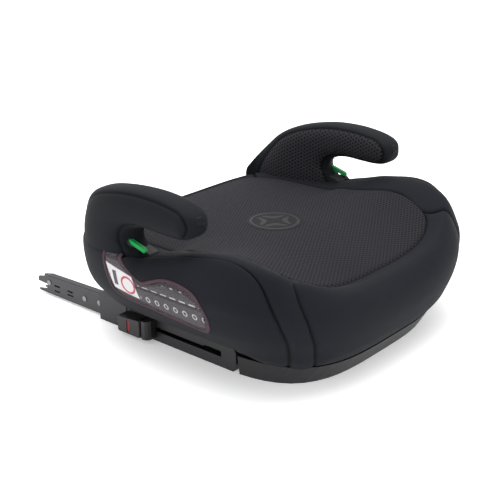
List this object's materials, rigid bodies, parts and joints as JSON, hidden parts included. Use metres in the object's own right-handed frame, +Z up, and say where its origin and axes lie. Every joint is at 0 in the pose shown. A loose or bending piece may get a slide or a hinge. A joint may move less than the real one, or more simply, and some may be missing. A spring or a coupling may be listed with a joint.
{
  "type": "booster seat",
  "caption": "Low child booster seat: padded fabric body with two curved armrests over belt gaps, on a plastic base with two sliding latching anchor connectors.",
  "frame": {"origin": "centre of the flat underside of the base, on the surface the seat stands on", "axes": "+Z up, -Y towards the front edge of the seat, +X towards the left side of the child who sits in it; the connectors point along +Y"},
  "size_m": [0.4148, 0.472, 0.2053],
  "materials": {
    "base_plastic": "moulded, fine grain",
    "shell_plastic": "moulded polypropylene",
    "screw_steel": "zinc plated",
    "painted_steel": "powder coated, satin",
    "rivet_steel": "bright zinc",
    "jaw_steel": "plated",
    "spring_steel": "plated wire",
    "grip_plastic": "moulded, satin",
    "indicator_plastic": "red",
    "guide_plastic": "bright green, moulded",
    "mesh_fabric": "spacer mesh over foam",
    "knit_fabric": "smooth knit over foam",
    "window_film": "clear grey film",
    "leaflet_card": "printed card"
  },
  "bodies": {
    "root": {"base_tray": "base_plastic", "base_screws": "screw_steel", "cross_brace": "painted_steel", "seat_shell": "shell_plastic", "seat_pad": "mesh_fabric", "front_panel": "knit_fabric", "rear_panel": "knit_fabric", "pocket_window": "window_film", "info_leaflet": "leaflet_card", "rail_housing_right": "base_plastic", "rail_housing_left": "base_plastic", "rail_screws_right": "screw_steel", "rail_screws_left": "screw_steel", "armrest_frame_right": "shell_plastic", "armrest_frame_left": "shell_plastic", "belt_guide_right": "guide_plastic", "belt_guide_left": "guide_plastic", "side_panel_right": "knit_fabric", "side_panel_left": "knit_fabric", "bolster_right": "knit_fabric", "bolster_left": "knit_fabric", "armrest_cover_right": "knit_fabric", "armrest_cover_left": "knit_fabric"},
    "connector_right": {"outer_plate_right": "painted_steel", "inner_plate_right": "painted_steel", "arm_rivets_right": "rivet_steel", "jaw_spring_right": "spring_steel", "carriage_right": "grip_plastic", "grip_right": "grip_plastic", "release_spring_right": "spring_steel"},
    "jaw_right": {"latch_jaw_right": "jaw_steel"},
    "release_right": {"release_slider_right": "grip_plastic", "pull_rod_right": "jaw_steel"},
    "flag_right": {"indicator_right": "indicator_plastic"},
    "connector_left": {"outer_plate_left": "painted_steel", "inner_plate_left": "painted_steel", "arm_rivets_left": "rivet_steel", "jaw_spring_left": "spring_steel", "carriage_left": "grip_plastic", "grip_left": "grip_plastic", "release_spring_left": "spring_steel"},
    "jaw_left": {"latch_jaw_left": "jaw_steel"},
    "release_left": {"release_slider_left": "grip_plastic", "pull_rod_left": "jaw_steel"},
    "flag_left": {"indicator_left": "indicator_plastic"}
  },
  "joints": [
    {"name": "connector_slide_right", "type": "slide", "parent": "root", "child": "connector_right", "axis": [0, -1, 0], "range_m": [0, 0.112]},
    {"name": "jaw_turn_right", "type": "hinge", "parent": "connector_right", "child": "jaw_right", "pos_m": [-0.14, 0.279, 0.0184], "axis": [-1, 0, 0], "range_deg": [0, 35]},
    {"name": "release_slide_right", "type": "slide", "parent": "connector_right", "child": "release_right", "axis": [0, -1, 0], "range_m": [0, 0.008], "stiffness_N_per_m": 600, "springref_m": -0.002},
    {"name": "flag_slide_right", "type": "slide", "parent": "connector_right", "child": "flag_right", "axis": [0, 1, 0], "range_m": [0, 0.004]},
    {"name": "connector_slide_left", "type": "slide", "parent": "root", "child": "connector_left", "axis": [0, -1, 0], "range_m": [0, 0.112]},
    {"name": "jaw_turn_left", "type": "hinge", "parent": "connector_left", "child": "jaw_left", "pos_m": [0.14, 0.279, 0.0184], "axis": [-1, 0, 0], "range_deg": [0, 35]},
    {"name": "release_slide_left", "type": "slide", "parent": "connector_left", "child": "release_left", "axis": [0, -1, 0], "range_m": [0, 0.008], "stiffness_N_per_m": 600, "springref_m": -0.002},
    {"name": "flag_slide_left", "type": "slide", "parent": "connector_left", "child": "flag_left", "axis": [0, 1, 0], "range_m": [0, 0.004]}
  ],
  "couplings": [
    {"joint": "flag_slide_right", "follows": "jaw_turn_right", "m_per_rad": 0.0065},
    {"joint": "flag_slide_left", "follows": "jaw_turn_left", "m_per_rad": 0.0065}
  ]
}
